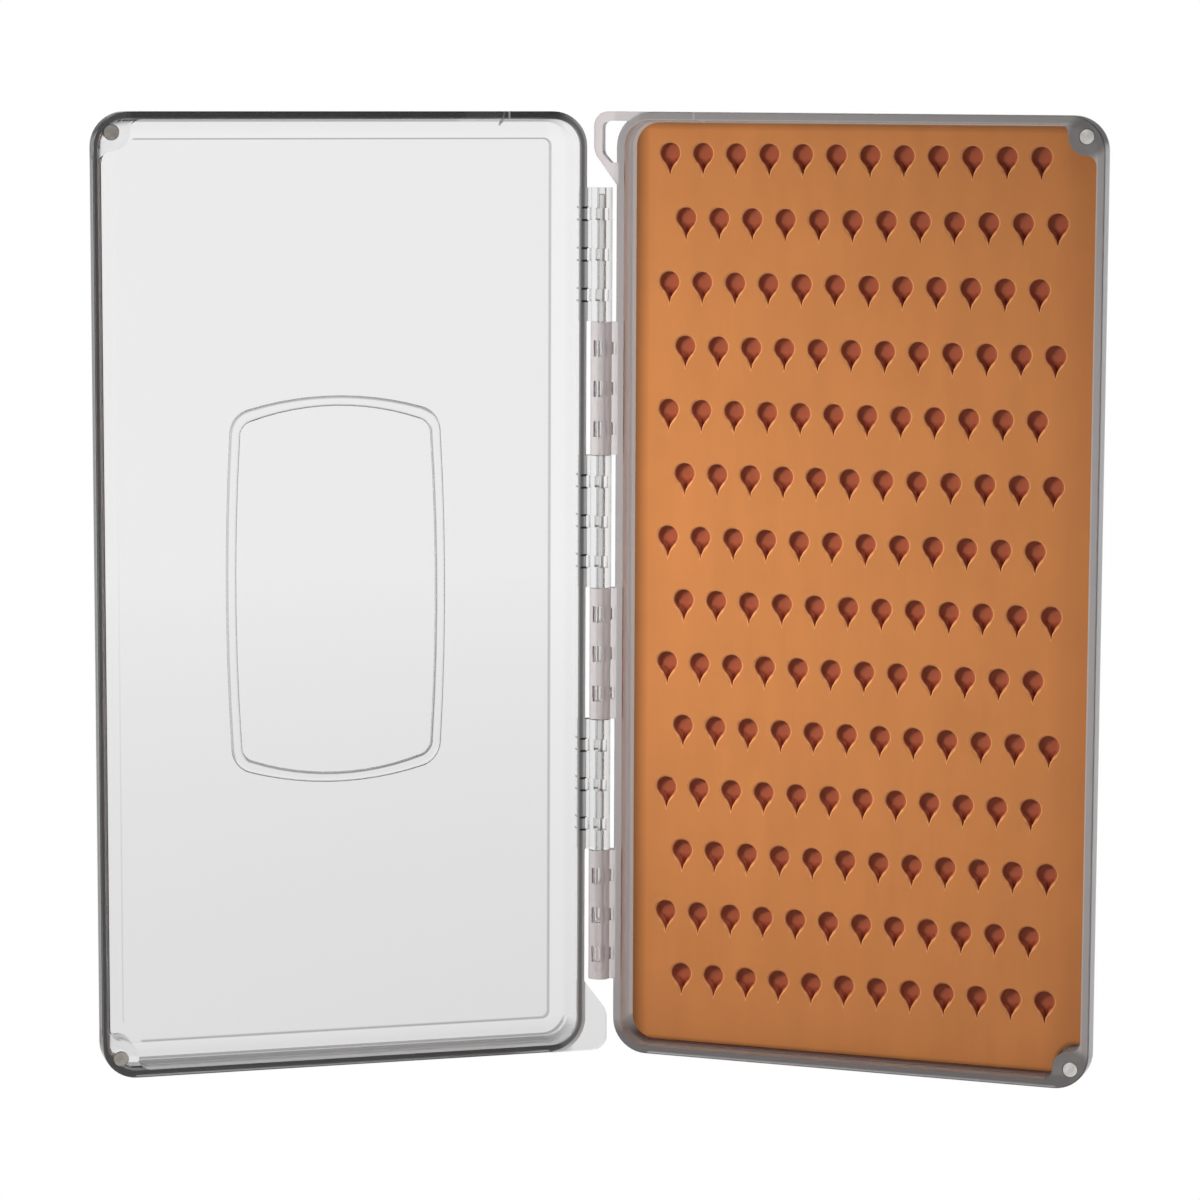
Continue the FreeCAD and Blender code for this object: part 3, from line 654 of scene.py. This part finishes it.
class FLYBOX_OT_lid(bpy.types.Operator):
    """Finish the clear lid in glossy moulded plastic"""
    bl_idname = "flybox.lid"
    bl_label = "Clear Lid"

    def execute(self, context):
        plastic = context.scene.flybox_plastic
        tree = Tree("clear_plastic")
        across, depth, height = tree.in_half(LID)
        inwards = tree.from_edge(LID)
        away = tree.rising(across, LID_AWAY)
        far = tree.rising(across, LID_FAR_SIDE)
        low = tree.falling(height, LID_LOW_END)
        # painted shade: the lid's side walls darker, away from the hinge
        wall = tree.product(
            tree.falling(inwards, tuple(plastic.edge_width + end for end in LID_EDGE_FADE)), away)
        # painted highlight: a pale ledge along the hinge side's front edge, and the tick on the
        # upper rim
        ledge = tree.product(tree.band(inwards, *LEDGE), tree.falling(depth, FRONT_EDGE),
                             tree.left_by(away))
        spot, tick = tree.gate_mark(across, height)
        highlight = tree.maximum(ledge, tick)
        colour = self.panel_colour(tree, plastic.clear_colour, inwards, height, far)
        colour = tree.blend(tree.line_shade(across, height), BLACK, colour)
        # the painted shade of the side walls, paler along the rim's pale stretch
        edge = tree.blend(spot, solid(plastic.clear_edge_shade), toned(plastic.clear_edge_shade, GATE_TONE))
        colour = tree.blend(wall, colour, edge)
        colour = tree.blend(highlight, colour, LID_HIGHLIGHT_COLOUR)
        # painted shade: a grey line in the groove along the ledge
        colour = tree.blend(tree.product(ledge, tree.band(inwards, *GROOVE)), colour,
                            GROOVE_SHADE_COLOUR)
        # painted shade: near-black dashes at the ends of the recesses
        colour = tree.blend(tree.at_recess_ends(across, depth, height), colour, RECESS_SHADE_COLOUR)
        cloudy = tree.ranged(tree.maximum(far, low), 0.0, 1.0,
                             plastic.edge_haze, plastic.edge_haze * 2)
        lower_wall = tree.product(low, tree.band(inwards, *LOWER_WALL))
        haze = tree.maximum(tree.product(wall, cloudy), tree.product(highlight, LEDGE_HAZE),
                            tree.product(lower_wall, LOWER_HAZE))
        ripple = tree.noise(tree.place(), scale=60.0, detail=1.0)
        shader = tree.add("BsdfPrincipled", {
            "Base Color": colour, "Roughness": plastic.gloss / 2, "IOR": 1.5,
            "Transmission Weight": tree.left_by(haze),
            "Normal": tree.bump(ripple, distance=0.00002, strength=0.3)})
        tree.absorb(CLEAR_INSIDE, plastic.clear_depth)
        dress("lid_cover", tree.surface(shader))
        return {"FINISHED"}

    def panel_colour(self, tree, clear, inwards, height, far):
        """The plate's tint, with a painted dark line of shade round its raised panel, which fades
        on the far side.
        """
        faint = tree.product(far, tree.ranged(height, *STEP_LOSS))
        step = tree.product(tree.band(inwards, *STEP_LINE),
                            tree.rising(tree.from_magnet(LID), STEP_POST), tree.left_by(faint))
        colour = tree.blend(tree.rising(inwards, PANEL), solid(clear), toned(clear, PANEL_TONE))
        return tree.blend(step, colour, toned(clear, STEP_SHADE_TONE))


class FLYBOX_OT_insert(bpy.types.Operator):
    """Mould the silicone insert with its soft-lipped slits"""
    bl_idname = "flybox.insert"
    bl_label = "Silicone Insert"

    def execute(self, context):
        insert = context.scene.flybox_insert
        pad = self.make_pad(context)
        plugs = self.make_plugs(context, insert)
        cut = pad.modifiers.new("slits", "BOOLEAN")
        cut.operation = "DIFFERENCE"
        cut.solver = "EXACT"
        cut.object = plugs
        pick_object(context, pad)
        bpy.ops.object.modifier_apply(modifier=cut.name)
        bpy.data.objects.remove(plugs)
        self.smooth(context, pad)
        pad.data.materials.clear()
        pad.data.materials.append(self.finish(insert))
        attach(pad, "base")
        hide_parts("silicone_insert")
        return {"FINISHED"}

    def make_pad(self, context):
        """The insert's outline as a plain pad: its old face and hollows off, a new face on."""
        pad = bpy.data.objects.new("slotted_insert", NODES["silicone_insert"].data.copy())
        context.scene.collection.objects.link(pad)
        pick_object(context, pad)
        bpy.ops.object.mode_set(mode="EDIT")
        bpy.ops.mesh.select_all(action="SELECT")
        bpy.ops.mesh.remove_doubles(threshold=MERGE)
        bpy.ops.mesh.select_mode(type="FACE")
        select_faces(pad, self.is_old_face)
        bpy.ops.mesh.delete(type="FACE")
        bpy.ops.mesh.select_mode(type="EDGE")
        bpy.ops.mesh.select_non_manifold()
        bpy.ops.mesh.edge_face_add()
        bpy.ops.mesh.select_all(action="SELECT")
        bpy.ops.mesh.normals_make_consistent(inside=False)
        bpy.ops.object.mode_set(mode="OBJECT")
        return pad

    def is_old_face(self, centre):
        """On the front face, or in a hollow of it, away from the rim and the corner notches."""
        depth = centre.y - INSERT_LOW.y
        if depth < MERGE:
            return True
        sides = min(centre.x - INSERT_LOW.x, INSERT_HIGH.x - centre.x)
        ends = min(centre.z - INSERT_LOW.z, INSERT_HIGH.z - centre.z)
        in_notch = INSERT_HIGH.x - centre.x < NOTCH_REACH and ends < NOTCH_REACH
        return depth < HOLLOW_REACH and min(sides, ends) > RIM_REACH and not in_notch

    def make_plugs(self, context, insert):
        """All the slits' hollows as solids, copied from one, in two staggered grids."""
        first = self.make_plug(insert)
        plugs = []
        for row in range(insert.slit_rows):
            for column in range(insert.slit_columns):
                plug = bpy.data.objects.new("slit_plug", first.data.copy())
                context.scene.collection.objects.link(plug)
                across = insert.first_side + (column + (row % 2) / 2) * insert.column_pitch
                plug.location = (HINGE.x + HINGE_WALL + across, INSERT_LOW.y,
                                 TRAY_HIGH.z - insert.first_end - row * insert.row_pitch)
                plugs.append(plug)
        bpy.data.objects.remove(first)
        bpy.ops.object.select_all(action="DESELECT")
        for plug in plugs:
            plug.select_set(True)
        context.view_layer.objects.active = plugs[0]
        bpy.ops.object.join()
        return plugs[0]

    def make_plug(self, insert):
        """One slit's hollow: a teardrop whose bowl runs down into a deeper tail."""
        lip_depth = insert.lip / LIP_SLOPE
        bpy.ops.object.select_all(action="DESELECT")
        bpy.ops.mesh.primitive_circle_add(
            vertices=PLUG_SIDES, radius=insert.head_radius, fill_type="NGON",
            location=(0, lip_depth, 0), rotation=(math.pi / 2, 0, 0))
        plug = bpy.context.object
        bpy.ops.object.transform_apply(location=True, rotation=True, scale=True)
        bpy.ops.object.mode_set(mode="EDIT")
        self.draw_out_tail(plug, insert)
        waist = -insert.head_radius / 2
        bpy.ops.mesh.select_mode(type="FACE")
        bpy.ops.mesh.select_all(action="SELECT")
        for depth, width, height in BOWL_SHARES:
            self.step_in(insert.bowl_depth * depth, width, height, waist)
        bpy.ops.mesh.poke(offset=0)
        self.lower_tail(plug, insert)
        select_faces(plug, lambda centre: abs(centre.y - lip_depth) < MERGE)
        self.step_in(-lip_depth, 1 + insert.lip / insert.head_radius, LIP_HEIGHT_SHARE, waist)
        self.widen_tail(plug, insert)
        self.step_in(-insert.bowl_depth / 2, 1, 1, waist)
        bpy.ops.mesh.select_all(action="SELECT")
        bpy.ops.mesh.normals_make_consistent(inside=False)
        bpy.ops.object.mode_set(mode="OBJECT")
        return plug

    def draw_out_tail(self, plug, insert):
        """Pulls the lower part of the round outline down to the slit's tip."""
        reach = insert.tail - insert.head_radius
        for step, (drop, width) in enumerate(TAIL_SHARES):
            turn = 2 * math.pi * step / PLUG_SIDES
            across = insert.head_radius * math.sin(turn)
            height = -insert.head_radius * math.cos(turn)
            select_vertices(plug, lambda place: abs(abs(place.x) - across) < MERGE
                            and abs(place.z - height) < MERGE)
            bpy.ops.transform.resize(value=(width, 1, 1), center_override=(0, 0, height))
            bpy.ops.transform.translate(value=(0, 0, -drop * reach))

    def step_in(self, depth, width, height, waist):
        """Extrudes the chosen face further in and draws it towards the waist of the teardrop."""
        bpy.ops.mesh.extrude_region_move(TRANSFORM_OT_translate={"value": (0, depth, 0)})
        bpy.ops.transform.resize(value=(width, 1, height), center_override=(0, 0, waist))

    def lower_tail(self, plug, insert):
        """Sinks the floor of the tail below the bowl."""
        floor = insert.lip / LIP_SLOPE + insert.bowl_depth
        bpy.ops.mesh.select_mode(type="VERT")
        for share, height in SINK_SHARES:
            select_vertices(plug, lambda place: place.y > floor - MERGE
                            and place.z < height * insert.head_radius)
            drop = share * (insert.slit_depth - insert.bowl_depth)
            bpy.ops.transform.translate(value=(0, drop, 0))
        bpy.ops.mesh.select_mode(type="FACE")

    def widen_tail(self, plug, insert):
        """Gives the lip its full width beside the tail too."""
        bpy.ops.mesh.select_mode(type="VERT")
        select_vertices(plug, lambda place: abs(place.y) < MERGE
                        and MERGE < abs(place.x) < insert.head_radius / 2
                        and place.z < -insert.head_radius)
        bpy.ops.transform.resize(value=(LIP_TAIL_SHARE, 1, 1), center_override=(0, 0, 0))
        bpy.ops.mesh.select_mode(type="FACE")
        select_faces(plug, lambda centre: abs(centre.y) < MERGE)

    def smooth(self, context, pad):
        """Smooth bowls, with the flat face kept flat up to each lip."""
        pick_object(context, pad)
        bpy.ops.object.shade_smooth_by_angle(angle=SMOOTH_ANGLE)
        bpy.ops.object.mode_set(mode="EDIT")
        bpy.ops.mesh.select_mode(type="EDGE")
        select_edges(pad, lambda place: place.y - INSERT_LOW.y < MERGE)
        bpy.ops.mesh.mark_sharp()
        bpy.ops.object.mode_set(mode="OBJECT")

    def finish(self, insert):
        tree = Tree("orange_silicone")
        place = tree.place()
        depth = tree.math("SUBTRACT", tree.axis(place, "Y"), INSERT_LOW.y)
        streak = tree.add("Mapping", {"Vector": place, "Scale": (260, 260, 40)}).outputs["Vector"]
        mottle = tree.blend(0.5, tree.noise(place, scale=90.0, detail=4.0),
                            tree.noise(streak, scale=1.0, detail=3.0))
        face = tree.blend(tree.rising(mottle, (0.35, 0.65)),
                          *(toned(insert.face_colour, tone) for tone in MOTTLE_TONES))
        # painted highlight: each slit's lip paler than the face
        lip = tree.blend(tree.rising(depth, LIP_FADE, smooth=True), face, solid(insert.lip_highlight_colour))
        # painted shade: each bowl darker with depth
        bowl = tree.blend(tree.rising(depth, BOWL_FADE, smooth=True), lip,
                          solid(insert.bowl_shade_colour))
        # painted shade: the slits darkest deep in their tails
        deep = tree.rising(depth, (insert.bowl_depth, insert.slit_depth), smooth=True)
        colour = tree.blend(deep, bowl, solid(insert.slit_shade_colour))
        colour = tree.blend(self.edge_shade(tree, place), BLACK, colour)
        grain = tree.noise(place, scale=2600.0, detail=2.0)
        shader = tree.add("BsdfPrincipled", {
            "Base Color": colour, "Roughness": 0.5, "IOR": 1.41, "Sheen Weight": 0.05,
            "Normal": tree.bump(grain, distance=0.00001, strength=0.5)})
        return tree.surface(shader)

    def edge_shade(self, tree, place):
        """How much light reaches the face: less along the tray's walls, least by the hinge side,
        and less by the lower magnet's post."""
        split = tree.add("SeparateXYZ", {"Vector": place}).outputs
        notch = tree.ranged(tree.from_magnet(TRAY), *SHADE_BY_MAGNET)
        upper = tree.rising(split["Z"], (CASE_HEIGHT / 2, CASE_HEIGHT / 2 + 0.001))
        return tree.product(
            tree.ranged(tree.math("SUBTRACT", split["X"], INSERT_LOW.x), *SHADE_BY_HINGE),
            tree.ranged(tree.math("SUBTRACT", INSERT_HIGH.x, split["X"]), *SHADE_BY_FAR_WALL),
            tree.ranged(tree.math("SUBTRACT", INSERT_HIGH.z, split["Z"]), *SHADE_ABOVE),
            tree.ranged(tree.math("SUBTRACT", split["Z"], INSERT_LOW.z), *SHADE_BELOW),
            tree.maximum(notch, upper))


class FLYBOX_OT_adhesive(bpy.types.Operator):
    """Finish the adhesive sheet that holds the insert"""
    bl_idname = "flybox.adhesive"
    bl_label = "Adhesive Sheet"

    def execute(self, context):
        tree = Tree("adhesive_sheet")
        fibre = tree.rising(tree.noise(tree.place(), scale=700.0, detail=4.0), (0.3, 0.7))
        shader = tree.add("BsdfPrincipled", {
            "Base Color": tree.blend(fibre, *ADHESIVE_COLOURS), "Roughness": 0.8,
            "Normal": tree.bump(fibre, distance=0.00002, strength=0.6)})
        dress("insert_adhesive", tree.surface(shader))
        return {"FINISHED"}


class FLYBOX_OT_pin(bpy.types.Operator):
    """Finish the steel hinge pin with its drawing lines"""
    bl_idname = "flybox.pin"
    bl_label = "Hinge Pin"

    def execute(self, context):
        metal = context.scene.flybox_metal
        tree = Tree("pin_steel")
        drawn = tree.add("Mapping", {"Vector": tree.place(), "Scale": (6000, 6000, 60)})
        lines = tree.noise(drawn.outputs["Vector"], scale=1.0, detail=2.0)
        colour = tree.blend(lines, toned(metal.pin_colour, METAL_TONE), solid(metal.pin_colour))
        shader = tree.add("BsdfPrincipled", {
            "Base Color": colour, "Metallic": 1.0,
            "Roughness": tree.ranged(lines, 0.3, 0.7, start=0.22, end=0.34),
            "Normal": tree.bump(lines, distance=0.000005, strength=0.5)})
        dress("hinge_pin", tree.surface(shader))
        return {"FINISHED"}


class FLYBOX_OT_magnets(bpy.types.Operator):
    """Finish the four plated corner magnets"""
    bl_idname = "flybox.magnets"
    bl_label = "Corner Magnets"

    def execute(self, context):
        metal = context.scene.flybox_metal
        for half, tone in (("base", metal.magnet_colour), ("lid", metal.lid_magnet_colour)):
            plating = self.plating(half, tone)
            for place in ("upper", "lower"):
                dress("%s_magnet_%s" % (half, place), plating)
        return {"FINISHED"}

    def plating(self, half, tone):
        tree = Tree(half + "_magnet_plating")
        place = tree.place()
        stain = tree.rising(tree.noise(place, scale=900.0, detail=3.0), (0.35, 0.65))
        grain = tree.noise(place, scale=5000.0, detail=2.0)
        shader = tree.add("BsdfPrincipled", {
            "Base Color": tree.blend(stain, solid(tone), toned(tone, METAL_TONE)),
            "Metallic": 1.0,
            "Roughness": tree.ranged(stain, 0.0, 1.0, start=0.28, end=0.4),
            "Normal": tree.bump(grain, distance=0.000005, strength=0.4)})
        return tree.surface(shader)


class FLYBOX_OT_stage(bpy.types.Operator):
    """Set up the pale floor, the soft lights and the camera"""
    bl_idname = "flybox.stage"
    bl_label = "Stage"

    def execute(self, context):
        stage = context.scene.flybox_stage
        self.add_floor()
        self.add_world(context)
        lights = {}
        for name, place, size, share in SOFT_LIGHTS:
            lights[name] = self.add_light(context, name, place, size, stage.key_power * share)
        near = self.add_light(context, "near", NEAR_PLACE, NEAR_SIZE, stage.near_power)
        near.data.spread = NEAR_SPREAD
        self.aim(near, NEAR_TARGET)
        near.light_linking.receiver_collection = self.leaving_out(
            "near_reach", "lid_cover", "floor")
        for light in (near, lights["key"]):
            light.light_linking.blocker_collection = self.leaving_out(
                light.name + "_blockers", "base_tray", "lid_cover")
        self.add_camera(context, stage)
        context.scene.view_settings.view_transform = "Standard"
        return {"FINISHED"}

    def add_floor(self):
        bpy.ops.object.select_all(action="DESELECT")
        bpy.ops.mesh.primitive_plane_add(size=12.0, location=(0, 0, 0))
        floor = bpy.context.object
        floor.name = "floor"
        tree = Tree("floor_white")
        path = tree.add("LightPath").outputs
        away = tree.add("VectorMath", {0: tree.place()}, operation="LENGTH").outputs["Value"]
        direction = tree.add("NewGeometry").outputs["Incoming"]
        shade = tree.add("BsdfDiffuse", {"Color": FLOOR_COLOUR})
        white = tree.add("Emission", {"Color": WHITE, "Strength": 1.0})
        mirrored = tree.add("Emission", {"Color": WHITE,
                                         "Strength": self.studio_walls(tree, direction)})
        through = tree.product(path["Is Transmission Ray"], tree.ranged(away, *FLOOR_SHARES),
                               self.seen_through(tree, direction))
        mixed = self.mix(tree, self.mirrored_only(tree, path), shade, mirrored)
        mixed = self.mix(tree, tree.maximum(path["Is Camera Ray"], through), mixed, white)
        floor.data.materials.append(tree.surface(mixed))

    def mirrored_only(self, tree, path):
        """One for a mirrored ray, and none for a refracted one, which counts as glossy too."""
        return tree.product(path["Is Glossy Ray"], tree.left_by(path["Is Transmission Ray"]))

    def mix(self, tree, share, first, second):
        node = tree.add("MixShader", {0: share})
        tree.links.new(first.outputs[0], node.inputs[1])
        tree.links.new(second.outputs[0], node.inputs[2])
        return node

    def facing(self, tree, direction):
        """How nearly a direction runs straight to or from the front, seen from above."""
        split = tree.add("SeparateXYZ", {"Vector": direction}).outputs
        level = tree.length(split["X"], split["Y"])
        return tree.math("DIVIDE", tree.math("ABSOLUTE", split["Y"]),
                         tree.math("ADD", level, MERGE))

    def studio_walls(self, tree, direction):
        """What glossy faces mirror: pale walls before and behind the box, darker ones beside it."""
        return tree.ranged(self.facing(tree, direction), *WALL_SHARES, smooth=True)

    def seen_through(self, tree, direction):
        """What clear plastic shows: white straight behind, dark where it bends the view far."""
        steep = tree.math("ABSOLUTE", tree.axis(direction, "Z"))
        return tree.product(
            tree.ranged(steep, *STEEP_SHARES, smooth=True),
            tree.ranged(self.facing(tree, direction), *ASIDE_SHARES, smooth=True))

    def add_world(self, context):
        world = bpy.data.worlds.new("studio")
        context.scene.world = world
        world.use_nodes = True
        tree = Tree(world)
        path = tree.add("LightPath").outputs
        direction = tree.add("TexCoord").outputs["Generated"]
        above = tree.ranged(tree.axis(direction, "Z"), *ABOVE_SHARES, smooth=True)
        lighting = self.background(tree, ROOM_COLOUR, ROOM_STRENGTH)
        behind = self.background(tree, WHITE, self.seen_through(tree, direction))
        mirrored = tree.product(self.studio_walls(tree, direction), above)
        mixed = self.mix(tree, path["Is Transmission Ray"], lighting, behind)
        mixed = self.mix(tree, self.mirrored_only(tree, path), mixed,
                         self.background(tree, WHITE, mirrored))
        mixed = self.mix(tree, path["Is Camera Ray"], mixed, self.background(tree, WHITE, 1.0))
        tree.surface(mixed)

    def background(self, tree, colour, strength):
        return tree.add("Background", {"Color": colour, "Strength": strength})

    def leaving_out(self, name, *pieces):
        """A light's reach that leaves pieces out: clear ones would cast too dark a shadow."""
        reach = bpy.data.collections.new(name)
        for piece in pieces:
            reach.objects.link(bpy.data.objects[piece])
        for held in reach.collection_objects:
            held.light_linking.link_state = "EXCLUDE"
        return reach

    def aim(self, light, target):
        direction = Vector(target) - light.location
        light.rotation_euler = direction.to_track_quat("-Z", "Y").to_euler()

    def add_light(self, context, name, place, size, power):
        data = bpy.data.lights.new(name, "AREA")
        data.shape = "SQUARE"
        data.size = size
        data.energy = power
        light = bpy.data.objects.new(name, data)
        context.scene.collection.objects.link(light)
        light.location = place
        light.visible_camera = False
        light.visible_glossy = False
        light.visible_transmission = False
        self.aim(light, (0, 0, CASE_HEIGHT / 2))
        return light

    def add_camera(self, context, stage):
        data = bpy.data.cameras.new("camera")
        data.sensor_width = 36.0
        data.lens = stage.lens
        data.clip_end = 20.0
        camera = bpy.data.objects.new("camera", data)
        context.scene.collection.objects.link(camera)
        turn = Matrix.Rotation(stage.camera_turn, 4, "Z")
        pitch = Matrix.Rotation(math.pi / 2 - stage.camera_pitch, 4, "X")
        roll = Matrix.Rotation(stage.camera_roll, 4, "Z")
        place = Matrix.Translation(Vector(stage.camera_place))
        camera.matrix_world = place @ turn @ pitch @ roll
        context.scene.camera = camera


STEPS = (
    FLYBOX_OT_tray,
    FLYBOX_OT_lid,
    FLYBOX_OT_insert,
    FLYBOX_OT_adhesive,
    FLYBOX_OT_pin,
    FLYBOX_OT_magnets,
    FLYBOX_OT_stage,
)


class FLYBOX_PT_panel(bpy.types.Panel):
    """Lists the fly box's pieces and the sizes and colours they use"""
    bl_idname = "FLYBOX_PT_panel"
    bl_label = "Fly Box"
    bl_space_type = "VIEW_3D"
    bl_region_type = "UI"
    bl_category = "Fly Box"

    def draw(self, context):
        scene = context.scene
        for group in (scene.flybox_plastic, scene.flybox_insert, scene.flybox_metal,
                      scene.flybox_stage):
            box = self.layout.box()
            for name in group.__annotations__:
                box.prop(group, name)
        for step in STEPS:
            self.layout.operator(step.bl_idname)


GROUPS = {
    "flybox_plastic": FLYBOX_PG_plastic,
    "flybox_insert": FLYBOX_PG_insert,
    "flybox_metal": FLYBOX_PG_metal,
    "flybox_stage": FLYBOX_PG_stage,
}


def register():
    for group in GROUPS.values():
        bpy.utils.register_class(group)
    for step in STEPS:
        bpy.utils.register_class(step)
    bpy.utils.register_class(FLYBOX_PT_panel)
    for name, group in GROUPS.items():
        setattr(bpy.types.Scene, name, PointerProperty(type=group))


def unregister():
    for name in GROUPS:
        delattr(bpy.types.Scene, name)
    bpy.utils.unregister_class(FLYBOX_PT_panel)
    for step in reversed(STEPS):
        bpy.utils.unregister_class(step)
    for group in GROUPS.values():
        bpy.utils.unregister_class(group)


def main():
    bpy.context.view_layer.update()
    register()
    for step in STEPS:
        group, name = step.bl_idname.split(".")
        getattr(getattr(bpy.ops, group), name)()


if __name__ == "__main__":
    main()
